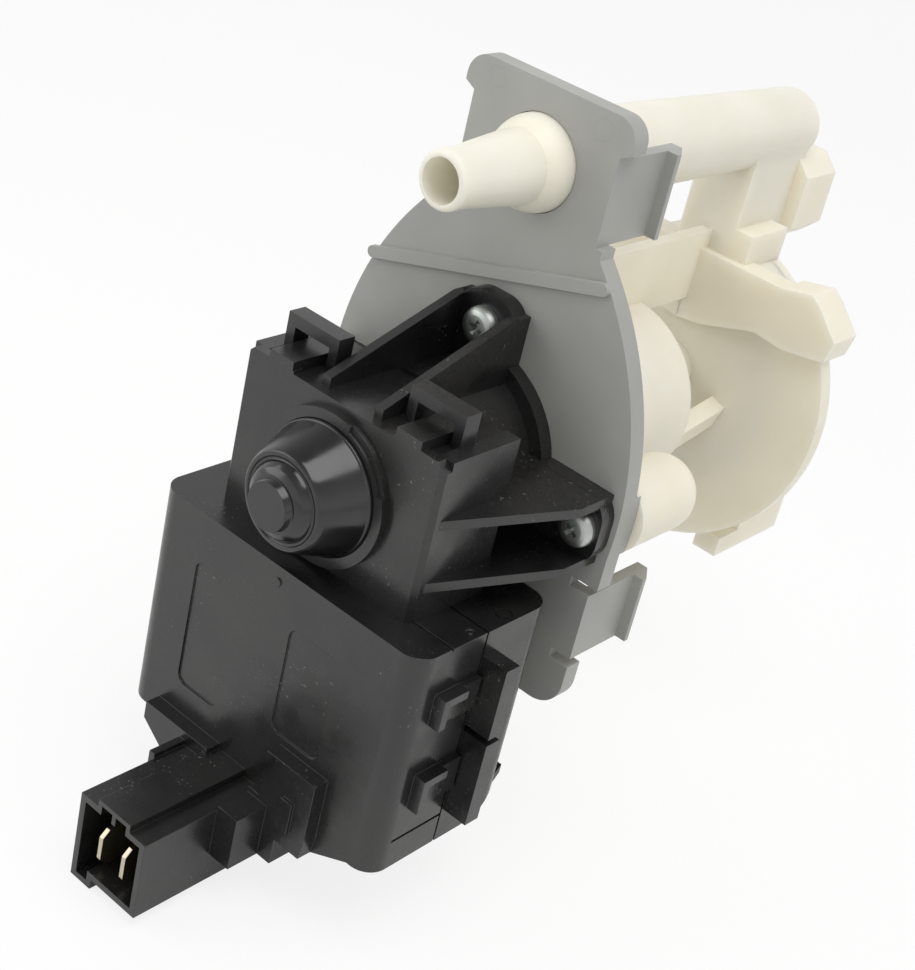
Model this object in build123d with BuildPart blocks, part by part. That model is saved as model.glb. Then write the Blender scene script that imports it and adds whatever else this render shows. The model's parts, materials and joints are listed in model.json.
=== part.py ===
from build123d import *
import math
import os

os.makedirs("parts", exist_ok=True)

# A condensate pump for a tumble dryer, in millimetres.
# X runs to the right seen from the motor's nose, Y runs along the shaft towards the impeller,
# and Z runs up towards the outlet nozzle. The origin is on the shaft line, in the plane of the
# mounting plate's screw pads. Its outer rim, which rests on the sump, ends rim_setback before that.

# Clearances
fit = 0.1
running_fit = 0.05
moving_gap = 0.3

# Mounting plate
plate_depth = 4.4
panel_wall = 2.2
rim_wall = 1.8
plate_half_width = 27.6
arch_half_width = 28.8
arch_radius = 52.0
arch_low_z = -6.0
arch_top_z = 36.2
rim_setback = 1.2
plate_bottom_z = -34.5
plate_corner = 5.0
neck_half_width = 13.2
head_overhang = 1.8
head_height = 5.5
head_corner = 3.5
plate_top_z = 55.1
neck_foot = 1.2
neck_foot_height = 3.6
neck_foot_drop = 3.4
bead_start = (-25.6, 19.4)
bead_end = (17.4, 32.0)
bead_width = 1.9
bead_height = 0.9

# Snap clips of the plate
clip_arm_wall = 1.9
clip_hook = 1.8
clip_catch_y = 7.2
clip_length = 10.8
upper_clip_centre_z = 42.9
upper_clip_width = 12.8
lower_clip_centre_z = -18.8
lower_clip_width = 11.4
clip_notch_width = 1.6
clip_notch_depth = 3.6

# Mounting screws and their bosses
screw_radius = 1.5
screw_head_radius = 3.0
screw_head_height = 1.9
screw_length = 16.0
screw_head_rounding = 1.1
driver_room = 5.7
recess_length = 3.2
recess_width = 0.8
recess_depth = 1.1
top_screw_z = 19.1
side_screw_inset = 3.1
side_screw_z = -1.6
screw_pad_radius = 5.4
side_boss_radius = 6.1
side_boss_length = 17.6
side_boss_rounding = 5.4
top_boss_radius = 4.2
top_boss_length = 14.0

# Pump body: outlet pipe and nozzle
pipe_radius = 7.0
pipe_root_radius = 6.8
pipe_wall = 1.5
pipe_z = 43.8
pipe_overhang = 1.9
pipe_end_wall = 2.2
pipe_end_radius = 6.0
pipe_end_drop = 1.9
pipe_end_rounding = 2.4
nozzle_root_radius = 5.45
nozzle_tip_radius = 4.2
nozzle_length = 20.2
nozzle_bore_radius = 3.2
nozzle_tip_straight = 3.8
nozzle_lip_rounding = 0.8

# Pump body: bell, web, duct and struts
bell_radius = 15.5
bell_wall = 2.0
bell_end_y = 32.6
spigot_radius = 12.8
spigot_wall = 1.6
web_wall = 2.0
web_top_z = 25.6
duct_half_width = 5.2
duct_wall = 1.8
duct_overhang = 5.0
duct_top_z = 39.6
duct_skirt_right_x = 8.6
duct_skirt_top_z = 27.4
strut_width = 4.4
strut_wall = 3.0
strut_front_inset = 0.6
strut_rear_inset = 2.6
strut_turns = (18.0, 90.0, 162.0)
shaft_tube_radius = 5.0

# Volute: a round casing with a wider front disc, flat at the top, and a shoulder with two lugs
volute_front_y = 48.6
volute_wall = 1.8
volute_cavity_radius = 20.0
casing_radius = 23.4
chamber_depth = 7.2
disc_radius = 30.0
disc_wall = 2.8
disc_top_z = 22.5
shoulder_wall = 1.8
shoulder_outline = (
    (0.0, 9.8),
    (4.3, 10.2),
    (14.8, 13.6),
    (19.9, 12.9),
    (28.0, 14.2),
    (28.8, 18.0),
    (24.7, 22.2),
    (22.6, 23.7),
    (17.0, 22.5),
    (0.0, 22.5),
)
lug_inner_x = 17.0
lug_depth = 7.2
cover_wall = 2.0
cover_lip_wall = 1.6
cover_lip_height = 2.0
inlet_radius = 6.5
inlet_collar_wall = 1.9
inlet_collar_height = 3.2

# Feet behind the volute
foot_reach = 5.6
pipe_foot_inner_x = 2.0
pipe_foot_outer_x = 7.7
pipe_foot_corner = 2.8
pipe_foot_top_z = 38.1
pipe_foot_bottom_z = 23.6
low_foot_inner_x = 13.6
low_foot_outer_x = 18.3
low_foot_bottom_z = -30.0
low_foot_height = 3.6
low_foot_arm_height = 14.0

# Motor housing
box_half_width = 19.0
box_top_z = 12.8
box_bottom_z = -12.1
box_front_y = -33.4
box_rear_y = -19.4
box_wall = 1.6
rail_width = 2.6
rail_top_z = 13.2
neck_radius = 13.5
flange_radius = 15.8
flange_thickness = 2.5
ear_thickness = 3.0
top_ear_half_width = 5.6
side_ear_half_height = 5.8
top_ear_reach = 5.0
side_ear_reach = 3.6
ear_corner = 4.2
rib_wall = 1.5
rib_offset = 5.0
top_rib_front_height = 1.6
top_rib_rear_y = -8.4
top_rib_rear_z = 22.5
side_rib_reach = 2.5
side_rib_rear_y = -12.4
loop_inner_x = 6.9
loop_outer_x = 16.9
loop_leg = 1.6
loop_bar = 1.9
loop_top_z = 18.2
loop_front_y = -30.0
loop_depth = 3.1

# Front cap
cap_thickness = 1.7
cap_top_z = 13.2
cap_corner = 1.4
cap_edge_bevel = 0.8
cap_recess_half_width = 9.6
tongue_inner_x = 9.9
tongue_outer_x = 14.5
tongue_top_z = 14.5
tongue_length = 8.6
cap_rim_radius = 11.7
cap_rim_height = 1.3
rim_lip_radius = 10.7
rim_lip_step = 0.5
rim_gap_x = 3.1
rim_gap_z = 4.0

# Rotor can
can_radius = 10.0
can_wall = 0.9
can_flange_radius = 12.4
can_flange_thickness = 1.4
nose_cone_length = 7.5
nose_shoulder_radius = 7.0
nose_bore_radius = 2.8
nose_dome_radius = 6.4
nose_dome_length = 1.5
nose_tip_radius = 3.6
nose_tip_length = 1.2

# Rotor
shaft_radius = 1.5
shaft_end_chamfer = 0.3
magnet_radius = 8.6
magnet_bore_radius = 4.0
magnet_length = 15.5
hub_collar = 0.8
lug_outer_radius = 5.4
lug_length = 3.2
hub_lug_turn = 90.0
dog_lug_turn = 80.0
dog_collar_radius = 2.6
lug_rest_gap_turn = 2.0
washer_radius = 2.9
washer_thickness = 0.5
bearing_radius = 3.4
bearing_length = 5.0
holder_radius = 5.0
gasket_thickness = 1.0
seal_radius = 6.0
seal_flange = 1.0
seal_length = 4.0
lower_bush_radius = 3.2
lower_bush_length = 7.0
shaft_front_gap = 0.8

# Impeller
impeller_radius = 16.4
impeller_disc = 1.2
impeller_hub_radius = 3.6
blade_count = 6
blade_wall = 1.2
impeller_front_gap = 0.8
impeller_rear_gap = 0.6
impeller_hub_proud = 0.4
cover_seal_width = 1.2
cover_seal_thickness = 1.0
groove_floor = 0.9

# Coil housing
coil_side_room = 2.4
coil_wall = 1.6
coil_front_y = -40.5
coil_seam_y = -26.2
coil_rear_y = -11.7
coil_seam_gap = 0.3
coil_bottom_z = -50.0
coil_corner = 3.6
coil_chamfer_y = 5.1
coil_chamfer_z = 5.7
label_recess = 0.3
label_corner = 1.6
tray_depth = 2.6
tray_half_width = 22.0
tray_low_half_width = 15.3
tray_low_z = -53.0
tray_left_x = -19.6
tray_left_step_x = -5.7
tray_right_step_x = 5.8
tray_right_x = 15.7
tray_left_z = -47.0
tray_right_z = -39.3
snap_block_height = 0.9
snap_rib_height = 2.0
snap_rib_width = 1.4
snap_front_y = -35.3
snap_rib_rear_y = -30.2
side_plate_reach = 4.4
side_plate_front_y = -25.9
side_plate_rear_y = -23.0
groove_width = 0.4
groove_depth = 0.35
side_groove_z = -44.8
top_groove_y = -33.7
ejector_depth = 0.2
ejector_line = 0.3
pip_place = (-0.6, -14.6)
pip_radius = 0.7
pip_height = 0.25

# Plug socket
socket_left_x = -10.4
socket_right_x = 3.6
socket_top_z = -49.2
socket_bottom_z = -62.8
socket_front_y = -62.5
socket_depth = 14.0
socket_wall = 1.1
key_rib_left_x = -6.7
key_rib_right_x = 0.2
key_rib_height = 1.3
key_step_right_x = -6.0
key_step_drop = 1.7
socket_rear_y = -35.4
key_window_wall = 0.8
key_step_wall = 1.0
latch_reach = 4.1
latch_front_y = -49.0
latch_top_z = -48.4
latch_bottom_z = -57.6
latch_shoulder_reach = 6.7
latch_shoulder_rear_y = -38.0
latch_shoulder_top_z = -47.5
latch_step_x = 12.7
latch_step_top_z = -44.5
latch_step_depth = 0.6
guide_rib_reach = 1.2
guide_rib_bottom_z = -50.9

# Terminal tabs
tab_width = 6.3
tab_thickness = 0.8
tab_pitch = 5.0
tab_centre_x = -3.75
tab_centre_z = -57.4
tab_tip_y = -61.4
tab_rear_y = -36.6
tab_post_depth = 2.2
tab_top_z = -45.6
tab_tip_chamfer = 1.2

# Stator
leg_half_width = 5.0
stack_length = 11.0
pole_clearance = 0.3
pole_top_z = 11.0
yoke_height = 7.4
bobbin_wall = 1.0
bobbin_top_z = -14.0
bobbin_bottom_z = -39.4
flange_half_width = 10.0
flange_half_depth = 10.6
winding_margin = 0.3

# Worked-out places
plate_front_y = -plate_depth
ear_front_y = plate_front_y - ear_thickness
tip_y = plate_front_y - nozzle_length
side_screw_x = plate_half_width - side_screw_inset
side_rib_rear_x = side_screw_x + side_rib_reach
leg_centre_x = box_half_width - box_wall - fit - leg_half_width
disc_rear_y = volute_front_y + disc_wall
volute_rear_y = volute_front_y + volute_wall + chamber_depth
cover_rear_y = volute_rear_y + cover_wall
duct_rear_y = cover_rear_y + duct_overhang
pipe_end_y = duct_rear_y + pipe_overhang
feet_rear_y = pipe_end_y + foot_reach
shoulder_front_y = volute_front_y - shoulder_wall
can_bore_radius = can_radius - can_wall
cap_front_y = box_front_y - cap_thickness
nose_root_y = cap_front_y - cap_rim_height
stack_rear_y = box_rear_y - box_wall - fit
stack_front_y = stack_rear_y - stack_length
stack_centre_y = stack_rear_y - stack_length / 2
magnet_front_y = stack_centre_y - magnet_length / 2
magnet_rear_y = magnet_front_y + magnet_length
hub_front_y = magnet_front_y - hub_collar
hub_rear_y = magnet_rear_y + hub_collar
lug_rear_y = hub_rear_y + lug_length
carrier_front_y = lug_rear_y + washer_thickness + fit
shaft_hole_radius = shaft_radius + running_fit
stack_bottom_z = coil_bottom_z + coil_wall + fit
coil_half_width = leg_centre_x + flange_half_width + coil_side_room + coil_wall
coil_top_z = box_bottom_z
neck_foot_low_z = arch_top_z - neck_foot_drop
arch_step_z = lower_clip_centre_z + lower_clip_width / 2 + clip_notch_width
screw_places = (
    (0, top_screw_z),
    (side_screw_x, side_screw_z),
    (-side_screw_x, side_screw_z),
)
label_panels = (
    ((-16.5, -7.7), (-42.0, -20.0)),
    ((3.3, 12.8), (-38.0, -20.0)),
)
snap_block_spans = ((-24.4, -19.2), (-39.2, -33.3))
side_plate_spans = ((-28.3, -16.3), (-44.0, -29.4))
front_ejector = (24.8, -28.4, 0.7)
rear_ejector = (24.4, -20.7, 1.4)
clip_places = (
    (neck_half_width, upper_clip_centre_z, upper_clip_width),
    (plate_half_width, lower_clip_centre_z, lower_clip_width),
)


def block(x_span, y_span, z_span, mode=Mode.ADD):
    """A box between two planes along each axis."""
    spans = (x_span, y_span, z_span)
    centre = tuple((low + high) / 2 for low, high in spans)
    sizes = tuple(abs(high - low) for low, high in spans)
    with Locations(centre):
        Box(*sizes, mode=mode)


def rod(radius, x, z, y_span, mode=Mode.ADD):
    """A cylinder along Y between two planes."""
    low, high = y_span
    with Locations(Location((x, (low + high) / 2, z), (90, 0, 0))):
        Cylinder(radius, abs(high - low), mode=mode)


def turned(points, mode=Mode.ADD):
    """A closed profile of (radius, y) points turned about the shaft line."""
    with BuildSketch() as profile:
        with BuildLine():
            Polyline(*points, close=True)
        make_face()
    revolve(profile.sketch, axis=Axis.Y, mode=mode)


def ring(outer_radius, inner_radius, y_span, mode=Mode.ADD):
    """A ring about the shaft line."""
    low, high = y_span
    turned([(inner_radius, low), (outer_radius, low), (outer_radius, high), (inner_radius, high)], mode)


def save(piece, label):
    """Labels a finished piece and writes it."""
    piece.part.label = label
    export_step(piece.part, "parts/" + label + ".step")


# Mounting plate: an arched panel with a head at the top, a rim at the back and four snap clips.
def plate_outline():
    """The right-hand half of the plate's edge, from the bottom up, as a line object."""
    head_half = neck_half_width + head_overhang
    head_bottom_z = plate_top_z - head_height
    with BuildLine(mode=Mode.PRIVATE) as edge:
        Polyline(
            (0, plate_bottom_z),
            (plate_half_width, plate_bottom_z),
            (plate_half_width, arch_step_z),
            (arch_half_width, arch_step_z),
            (arch_half_width, arch_low_z),
        )
        RadiusArc((arch_half_width, arch_low_z), (neck_half_width, arch_top_z), -arch_radius)
        Polyline(
            (neck_half_width, arch_top_z),
            (neck_half_width, head_bottom_z),
            (head_half, head_bottom_z + head_overhang / 2),
            (head_half, plate_top_z),
            (0, plate_top_z),
        )
    return edge.line


with BuildPart() as mounting_plate:
    with BuildSketch(Plane.XZ) as outline:
        with BuildLine():
            add(plate_outline())
            mirror(about=Plane.YZ)
        make_face()
        bottom_corners = outline.vertices().group_by(Axis.Y)[0]
        fillet(bottom_corners, plate_corner)
        head_corners = outline.vertices().group_by(Axis.Y)[-1].sort_by(Axis.X)
        fillet([head_corners[0], head_corners[-1]], head_corner)
    extrude(amount=plate_depth)
    with BuildSketch(Plane.XZ):
        add(outline.sketch)
        offset(amount=-rim_wall, kind=Kind.INTERSECTION, mode=Mode.REPLACE)
    extrude(amount=plate_depth - panel_wall, mode=Mode.SUBTRACT)
    half_width = arch_half_width
    block((-half_width, half_width), (-rim_setback, 0), (plate_bottom_z, plate_top_z), Mode.SUBTRACT)
    with BuildSketch(Plane.XZ):
        with Locations(*screw_places):
            Circle(screw_pad_radius)
        add(outline.sketch, mode=Mode.INTERSECT)
    extrude(amount=plate_depth)
    rod(spigot_radius + fit + rim_wall, 0, 0, (plate_front_y, 0))
    rod(pipe_radius + fit + rim_wall, 0, pipe_z, (plate_front_y, 0))
    for side in (-1, 1):
        foot_x = sorted((side * neck_half_width, side * (neck_half_width + neck_foot)))
        block(foot_x, (plate_front_y, -rim_setback), (neck_foot_low_z, neck_foot_low_z + neck_foot_height))
    for side in (-1, 1):
        for outer_x, clip_z, clip_width in clip_places:
            with BuildSketch(Plane.XY.offset(clip_z)):
                with BuildLine():
                    Polyline(
                        (side * (outer_x - clip_arm_wall), -panel_wall),
                        (side * outer_x, -panel_wall),
                        (side * outer_x, clip_catch_y),
                        (side * (outer_x + clip_hook), clip_catch_y),
                        (side * (outer_x + clip_hook), clip_catch_y + clip_hook / 2),
                        (side * outer_x, clip_length),
                        (side * (outer_x - clip_arm_wall), clip_length),
                        close=True,
                    )
                make_face()
            extrude(amount=clip_width / 2, both=True)
    for side in (-1, 1):
        notch_x = sorted((side * plate_half_width, side * (plate_half_width - clip_notch_depth)))
        for end in (-1, 1):
            notch_z = lower_clip_centre_z + end * (lower_clip_width + clip_notch_width) / 2
            notch_span = (notch_z - clip_notch_width / 2, notch_z + clip_notch_width / 2)
            block(notch_x, (plate_front_y, 0), notch_span, Mode.SUBTRACT)
    bead_length = math.dist(bead_start, bead_end)
    bead_turn = math.degrees(math.atan2(bead_end[1] - bead_start[1], bead_end[0] - bead_start[0]))
    bead_centre = ((bead_start[0] + bead_end[0]) / 2, (bead_start[1] + bead_end[1]) / 2)
    with BuildSketch(Plane.XZ.offset(plate_depth)):
        with Locations(Location((bead_centre[0], bead_centre[1], 0), (0, 0, bead_turn))):
            SlotOverall(bead_length, bead_width)
    extrude(amount=bead_height)
    for screw_x, screw_z in screw_places:
        rod(screw_radius + fit, screw_x, screw_z, (plate_front_y, 0), Mode.SUBTRACT)
    rod(spigot_radius + fit, 0, 0, (plate_front_y, 0), Mode.SUBTRACT)
    rod(pipe_radius + fit, 0, pipe_z, (plate_front_y, 0), Mode.SUBTRACT)
save(mounting_plate, "mounting_plate")

# Pump body: bell, shaft tube, volute half, rising duct, outlet pipe and nozzle, one moulding.
def outlet_pipe(start_y, end_y, wall, mode):
    """The outlet pipe behind the plate, which narrows and drops a little towards its closed end."""
    middle_y = (start_y + end_y) / 2
    lean = math.degrees(math.atan2(pipe_end_drop, pipe_end_y))
    shrink = (pipe_end_radius - pipe_root_radius) / pipe_end_y
    start_radius = pipe_root_radius + shrink * start_y - wall
    end_radius = pipe_root_radius + shrink * end_y - wall
    middle = (0, middle_y, pipe_z - pipe_end_drop * middle_y / pipe_end_y)
    with Locations(Location(middle, (90 - lean, 0, 0))):
        Cone(end_radius, start_radius, end_y - start_y, mode=mode)


with BuildPart() as pump_body:
    seal_seat_radius = seal_radius + fit
    bell_inner = bell_radius - bell_wall
    turned(
        [
            (bell_inner, 0),
            (bell_radius, 0),
            (bell_radius, bell_end_y),
            (shaft_tube_radius, bell_end_y),
            (shaft_tube_radius, volute_front_y),
            (casing_radius, volute_front_y),
            (casing_radius, volute_rear_y),
            (volute_cavity_radius, volute_rear_y),
            (volute_cavity_radius, volute_front_y + volute_wall),
            (lower_bush_radius + fit, volute_front_y + volute_wall),
            (lower_bush_radius + fit, bell_end_y - bell_wall),
            (bell_inner, bell_end_y - bell_wall),
        ]
    )
    ring(bell_radius, seal_seat_radius, (0, bell_wall))
    ring(spigot_radius, spigot_radius - spigot_wall, (plate_front_y + gasket_thickness, 0))
    rod(pipe_radius, 0, pipe_z, (plate_front_y, 0))
    outlet_pipe(plate_front_y / 2, pipe_end_y, 0, Mode.ADD)
    pipe_end = pump_body.faces().sort_by_distance((0, pipe_end_y, pipe_z - pipe_end_drop))[0]
    fillet(pipe_end.edges(), pipe_end_rounding)
    for side in (-1, 1):
        rod(side_boss_radius, side * side_screw_x, side_screw_z, (0, side_boss_length))
        boss_end = pump_body.faces().filter_by(Plane.XZ).sort_by_distance(
            (side * side_screw_x, side_boss_length, side_screw_z)
        )[0]
        fillet(boss_end.edges(), side_boss_rounding)
        arm_x = sorted((side * (bell_radius - bell_wall / 2), side * side_screw_x))
        arm_z = (side_screw_z - side_boss_radius / 2, side_screw_z + side_boss_radius / 2)
        block(arm_x, (0, side_boss_length / 2), arm_z)
    rod(top_boss_radius, 0, top_screw_z, (0, top_boss_length))
    front_wall_middle_y = volute_front_y + volute_wall / 2
    block((-web_wall / 2, web_wall / 2), (0, front_wall_middle_y), (bell_inner + fit, web_top_z))
    # The front disc is a ring round the chamber, cut flat at the top.
    with BuildSketch(Plane.XZ.offset(-disc_rear_y)):
        Circle(disc_radius)
        Circle(volute_cavity_radius + volute_wall / 2, mode=Mode.SUBTRACT)
        with Locations((0, (disc_top_z - disc_radius) / 2)):
            Rectangle(2 * disc_radius, disc_radius + disc_top_z, mode=Mode.INTERSECT)
    extrude(amount=disc_wall)
    # The shoulder lies on the disc's front and ends in a lug at either side.
    for low_x, rear_y in ((0, front_wall_middle_y), (lug_inner_x, shoulder_front_y + lug_depth)):
        with BuildSketch(Plane.XZ.offset(-rear_y)):
            with BuildLine():
                Polyline(*shoulder_outline)
                mirror(about=Plane.YZ)
            make_face()
            Rectangle(2 * low_x + fit, 2 * disc_radius, mode=Mode.SUBTRACT)
        extrude(amount=rear_y - shoulder_front_y)
    duct_x = (-duct_half_width, duct_half_width)
    duct_bottom_z = volute_cavity_radius + duct_wall
    block(duct_x, (volute_front_y, duct_rear_y), (duct_bottom_z, duct_top_z))
    skirt_x = (-duct_half_width, duct_skirt_right_x)
    block(skirt_x, (volute_front_y, cover_rear_y), (duct_bottom_z, duct_skirt_top_z))
    for turn in strut_turns:
        with BuildSketch(Plane.XY.rotated((0, turn, 0))):
            with BuildLine():
                Polyline(
                    (bell_radius - strut_front_inset - strut_wall, bell_end_y - bell_wall / 2),
                    (bell_radius - strut_front_inset, bell_end_y - bell_wall / 2),
                    (bell_radius - strut_rear_inset, volute_front_y + volute_wall / 2),
                    (bell_radius - strut_rear_inset - strut_wall, volute_front_y + volute_wall / 2),
                    close=True,
                )
            make_face()
        extrude(amount=strut_width / 2, both=True)
    for side in (-1, 1):
        with BuildSketch(Plane.XZ.offset(-feet_rear_y)):
            with BuildLine():
                Polyline(
                    (side * pipe_foot_inner_x, pipe_foot_bottom_z),
                    (side * (pipe_foot_outer_x - pipe_foot_corner), pipe_foot_bottom_z),
                    (side * pipe_foot_outer_x, pipe_foot_bottom_z + pipe_foot_corner),
                    (side * pipe_foot_outer_x, pipe_foot_top_z - pipe_foot_corner),
                    (side * (pipe_foot_outer_x - pipe_foot_corner), pipe_foot_top_z),
                    (side * pipe_foot_inner_x, pipe_foot_top_z),
                    close=True,
                )
            make_face()
        extrude(amount=feet_rear_y - duct_rear_y + duct_wall)
    # The collar and nozzle lie in front of the plate, on the pipe's own axis.
    with BuildSketch(Plane.XY.offset(pipe_z)):
        with BuildLine():
            Line((0, plate_front_y), (pipe_radius, plate_front_y))
            collar_end_y = plate_front_y - math.sqrt(pipe_radius**2 - nozzle_root_radius**2)
            RadiusArc((pipe_radius, plate_front_y), (nozzle_root_radius, collar_end_y), pipe_radius)
            Polyline(
                (nozzle_root_radius, collar_end_y),
                (nozzle_tip_radius, tip_y + nozzle_tip_straight),
                (nozzle_tip_radius, tip_y),
                (0, tip_y),
                (0, plate_front_y),
            )
        make_face()
    revolve(axis=Axis((0, 0, pipe_z), (0, 1, 0)))
    nozzle_lip = pump_body.faces().filter_by(Plane.XZ).sort_by(Axis.Y)[0]
    fillet(nozzle_lip.edges(), nozzle_lip_rounding)
    # Water way: volute, up the duct, along the pipe and out of the nozzle.
    rod(nozzle_bore_radius, 0, pipe_z, (tip_y, duct_rear_y), Mode.SUBTRACT)
    outlet_pipe(0, pipe_end_y - pipe_end_wall, pipe_wall, Mode.SUBTRACT)
    duct_inner = duct_half_width - duct_wall
    block(
        (-duct_inner, duct_inner),
        (volute_front_y + volute_wall, duct_rear_y - duct_wall),
        (casing_radius + duct_wall, pipe_z),
        Mode.SUBTRACT,
    )
    block(
        (-duct_inner, duct_inner),
        (volute_front_y + volute_wall, volute_rear_y - cover_seal_thickness - groove_floor),
        (volute_cavity_radius - duct_wall, pipe_z),
        Mode.SUBTRACT,
    )
    groove_inner = volute_cavity_radius + groove_floor
    groove_y = (volute_rear_y - cover_seal_thickness - fit, volute_rear_y)
    ring(groove_inner + cover_seal_width + 2 * fit, groove_inner, groove_y, Mode.SUBTRACT)
    for screw_x, screw_z in screw_places:
        hole_depth = screw_length + ear_front_y + 1
        rod(screw_radius + running_fit, screw_x, screw_z, (0, hole_depth), Mode.SUBTRACT)
save(pump_body, "pump_body")

# Volute cover: closes the impeller chamber, carries the suction inlet and the lower feet.
with BuildPart() as volute_cover:
    lip_radius = volute_cavity_radius - fit
    collar_radius = inlet_radius + inlet_collar_wall
    ring(casing_radius, inlet_radius, (volute_rear_y, cover_rear_y))
    ring(collar_radius, inlet_radius, (volute_rear_y, cover_rear_y + inlet_collar_height))
    ring(lip_radius, lip_radius - cover_lip_wall, (volute_rear_y - cover_lip_height, volute_rear_y))
    block(
        (-duct_half_width, duct_half_width),
        (volute_rear_y - cover_lip_height, volute_rear_y),
        (volute_cavity_radius / 2, casing_radius),
        Mode.SUBTRACT,
    )
    block(
        (-duct_half_width - fit, duct_skirt_right_x + fit),
        (volute_rear_y, cover_rear_y),
        (duct_bottom_z - fit, casing_radius),
        Mode.SUBTRACT,
    )
    for side in (-1, 1):
        low_foot_top_z = low_foot_bottom_z + low_foot_height
        foot_x = sorted((side * low_foot_inner_x, side * low_foot_outer_x))
        block(foot_x, (disc_rear_y + moving_gap, feet_rear_y), (low_foot_bottom_z, low_foot_top_z))
        arm_z = (low_foot_bottom_z, low_foot_bottom_z + low_foot_arm_height)
        block(foot_x, (volute_rear_y, feet_rear_y), arm_z)
save(volute_cover, "volute_cover")

# Motor housing: a box round the poles, a round neck and flange behind it, ears, ribs and loops.
def ear(centre, length, width):
    """An ear of the motor housing's flange, seen from the front, as a private sketch."""
    with BuildSketch(mode=Mode.PRIVATE) as outline:
        with Locations(centre):
            Rectangle(length, width)
        fillet(outline.vertices(), ear_corner)
    return outline.sketch


with BuildPart() as motor_housing:
    block((-box_half_width, box_half_width), (box_front_y, box_rear_y), (box_bottom_z, box_top_z))
    for side in (-1, 1):
        rail_x = sorted((side * box_half_width, side * (box_half_width - rail_width)))
        block(rail_x, (box_front_y, box_rear_y), (box_top_z - box_wall, rail_top_z))
    rod(neck_radius, 0, 0, (box_rear_y, plate_front_y))
    rod(flange_radius, 0, 0, (plate_front_y - flange_thickness, plate_front_y))
    top_ear_z = top_screw_z + top_ear_reach
    side_ear_x = side_screw_x + side_ear_reach
    with BuildSketch(Plane.XZ.offset(plate_depth)):
        add(ear((0, top_ear_z / 2), 2 * top_ear_half_width, top_ear_z))
        for side in (-1, 1):
            ear_centre = (side * side_ear_x / 2, side_screw_z)
            add(ear(ear_centre, side_ear_x, 2 * side_ear_half_height))
    extrude(amount=ear_thickness)
    rib_root = math.sqrt(neck_radius**2 - rib_offset**2) - rib_wall / 2
    for rib_x in (-rib_offset, rib_offset):
        with BuildSketch(Plane.YZ.offset(rib_x)):
            with BuildLine():
                Polyline(
                    (box_front_y, box_top_z - box_wall / 2),
                    (box_front_y, box_top_z + top_rib_front_height),
                    (top_rib_rear_y, top_rib_rear_z),
                    (plate_front_y, top_rib_rear_z),
                    (plate_front_y, rib_root),
                    (box_rear_y - box_wall / 2, rib_root),
                    (box_rear_y - box_wall / 2, box_top_z - box_wall / 2),
                    close=True,
                )
            make_face()
        extrude(amount=rib_wall / 2, both=True)
    for side in (-1, 1):
        for rib_z in (side_screw_z - rib_offset, side_screw_z + rib_offset):
            with BuildSketch(Plane.XY.offset(rib_z)):
                with BuildLine():
                    Polyline(
                        (side * (box_half_width - box_wall / 2), box_front_y),
                        (side * box_half_width, box_front_y),
                        (side * side_rib_rear_x, side_rib_rear_y),
                        (side * side_rib_rear_x, plate_front_y),
                        (side * rib_root, plate_front_y),
                        (side * rib_root, box_rear_y - box_wall / 2),
                        (side * (box_half_width - box_wall / 2), box_rear_y - box_wall / 2),
                        close=True,
                    )
                make_face()
            extrude(amount=rib_wall / 2, both=True)
        loop_y = (loop_front_y, loop_front_y + loop_depth)
        for leg_x in (loop_inner_x, loop_outer_x - loop_leg):
            leg_span = sorted((side * leg_x, side * (leg_x + loop_leg)))
            block(leg_span, loop_y, (box_top_z - box_wall / 2, loop_top_z))
        bar_x = sorted((side * loop_inner_x, side * loop_outer_x))
        block(bar_x, loop_y, (loop_top_z - loop_bar, loop_top_z))
    # Under the neck the housing is flat, level with the box, where the coil housing meets it.
    neck_flat_y = (box_rear_y, coil_rear_y + moving_gap)
    block((-neck_radius, neck_radius), neck_flat_y, (-neck_radius, box_bottom_z), Mode.SUBTRACT)
    # The pole chamber is open at the front, and the stator's legs come up through its floor.
    chamber_x = box_half_width - box_wall
    chamber_z = (box_bottom_z + box_wall, box_top_z - box_wall)
    block((-chamber_x, chamber_x), (box_front_y, box_rear_y - box_wall), chamber_z, Mode.SUBTRACT)
    for side in (-1, 1):
        slot_x = (side * leg_centre_x - leg_half_width - fit, side * leg_centre_x + leg_half_width + fit)
        slot_y = (stack_front_y - fit, stack_rear_y + fit)
        block(slot_x, slot_y, (box_bottom_z, box_bottom_z + box_wall), Mode.SUBTRACT)
    rod(can_radius + fit, 0, 0, (box_rear_y - box_wall, plate_front_y), Mode.SUBTRACT)
    seat_y = (plate_front_y - can_flange_thickness, plate_front_y)
    rod(can_flange_radius + fit, 0, 0, seat_y, Mode.SUBTRACT)
    for screw_x, screw_z in screw_places:
        rod(screw_radius + fit, screw_x, screw_z, (ear_front_y, plate_front_y), Mode.SUBTRACT)
    # The ribs leave room for the screw heads.
    for screw_x, screw_z in screw_places:
        head_y = (ear_front_y - driver_room, ear_front_y)
        rod(screw_head_radius + moving_gap, screw_x, screw_z, head_y, Mode.SUBTRACT)
save(motor_housing, "motor_housing")

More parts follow.
